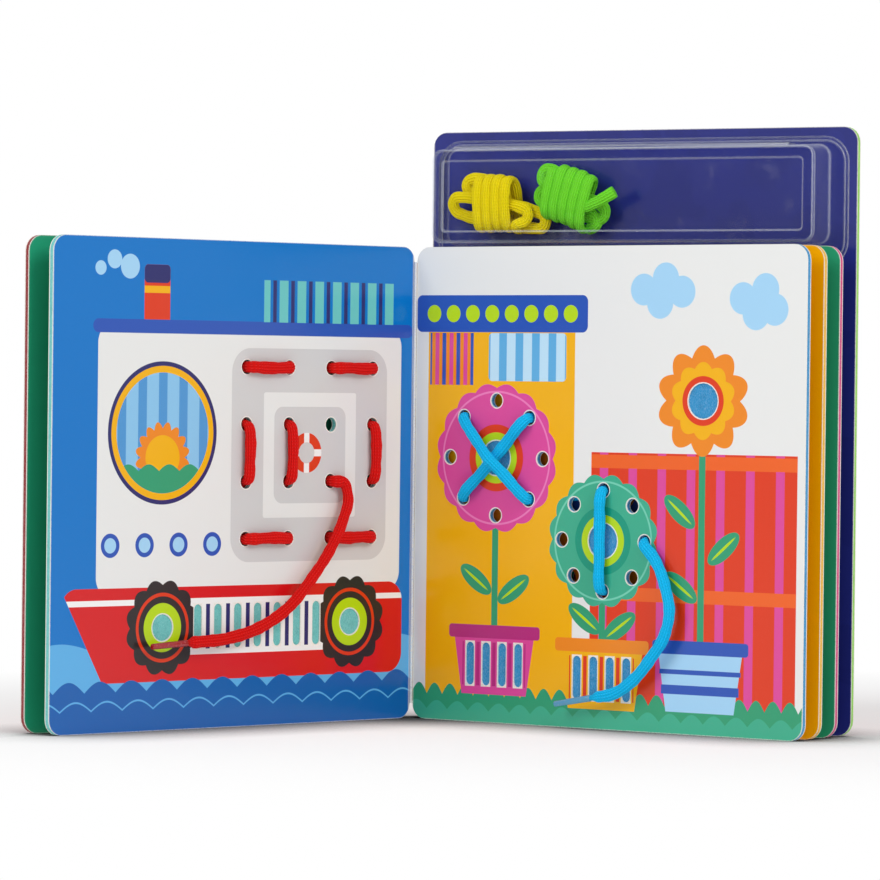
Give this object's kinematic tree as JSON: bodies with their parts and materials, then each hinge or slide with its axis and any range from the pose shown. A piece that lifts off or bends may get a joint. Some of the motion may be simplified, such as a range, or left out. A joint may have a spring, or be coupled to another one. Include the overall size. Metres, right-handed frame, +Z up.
{
  "type": "lacing board book",
  "caption": "Toy board book of felt-cored boards on card folds, with pages punched for threading laces and a clear lidded tray of spare laces on its taller back cover.",
  "frame": {"origin": "middle of the back cover's bottom edge, half way through its felt core", "axes": "+X along the back cover from its fold to its fore edge, +Y out of the back cover's outer face, +Z up along the folds as the book stands open"},
  "size_m": [0.3037, 0.225, 0.274],
  "materials": {
    "white_card": "glossy white printed card",
    "blue_card": "glossy blue printed card",
    "green_card": "glossy green printed card",
    "orange_card": "glossy orange-yellow printed card",
    "navy_card": "glossy navy printed card",
    "red_card": "glossy red printed card",
    "red_felt": "red felt",
    "teal_felt": "light teal felt",
    "blue_felt": "mid-blue felt",
    "yellow_felt": "yellow felt",
    "pink_felt": "pink felt",
    "lime_felt": "lime green felt",
    "clear_plastic": "clear thermoformed plastic",
    "red_cord": "red braided cord",
    "blue_cord": "blue braided cord",
    "yellow_cord": "yellow braided cord",
    "green_cord": "green braided cord",
    "red_tip": "translucent red-tinted tube",
    "blue_tip": "translucent blue-grey tube"
  },
  "bodies": {
    "back_cover": {"back_cover_inner_card": "navy_card", "back_cover_felt_core": "lime_felt", "back_cover_outer_card": "red_card", "spine_wrap": "red_card", "thread_tray": "clear_plastic", "yellow_lace_hank": "yellow_cord", "green_lace_hank": "green_cord"},
    "tray_lid": {"tray_lid": "clear_plastic"},
    "leaf_4": {"leaf_4_verso_card": "navy_card", "leaf_4_felt_core": "pink_felt", "leaf_4_recto_card": "green_card"},
    "leaf_3": {"leaf_3_verso_card": "green_card", "leaf_3_felt_core": "yellow_felt", "leaf_3_recto_card": "orange_card"},
    "leaf_2": {"leaf_2_verso_card": "orange_card", "leaf_2_felt_core": "blue_felt", "leaf_2_recto_card": "white_card", "blue_lace": "blue_cord", "blue_lace_tip": "blue_tip", "blue_lace_start_tip": "blue_tip"},
    "leaf_1": {"leaf_1_verso_card": "blue_card", "leaf_1_felt_core": "teal_felt", "leaf_1_recto_card": "green_card", "red_lace": "red_cord", "red_lace_tip": "red_tip", "red_lace_start_tip": "red_tip"},
    "front_cover": {"front_cover_inner_card": "green_card", "front_cover_felt_core": "red_felt", "front_cover_outer_card": "red_card"}
  },
  "joints": [
    {"name": "leaf_4_fold", "type": "hinge", "parent": "back_cover", "child": "leaf_4", "pos_m": [-0.109, -0.0021, 0.11], "axis": [0, 0, -1], "range_deg": [-3, 12]},
    {"name": "leaf_3_fold", "type": "hinge", "parent": "leaf_4", "child": "leaf_3", "pos_m": [-0.10923, -0.00629, 0.11], "axis": [0, 0, -1], "range_deg": [-2.5, 12]},
    {"name": "leaf_2_fold", "type": "hinge", "parent": "leaf_3", "child": "leaf_2", "pos_m": [-0.10967, -0.01047, 0.11], "axis": [0, 0, -1], "range_deg": [0, 12]},
    {"name": "gutter_fold", "type": "hinge", "parent": "leaf_2", "child": "leaf_1", "pos_m": [-0.11028, -0.01463, 0.11], "axis": [0, 0, -1], "range_deg": [-82, 58], "deforming": ["spine_wrap"]},
    {"name": "front_cover_fold", "type": "hinge", "parent": "leaf_1", "child": "front_cover", "pos_m": [-0.11429, -0.01338, 0.11], "axis": [0, 0, -1], "range_deg": [0, 12]},
    {"name": "tray_lid_hinge", "type": "hinge", "parent": "back_cover", "child": "tray_lid", "pos_m": [0, -0.0191, 0.2654], "axis": [-1, 0, 0], "range_deg": [0, 130]}
  ]
}
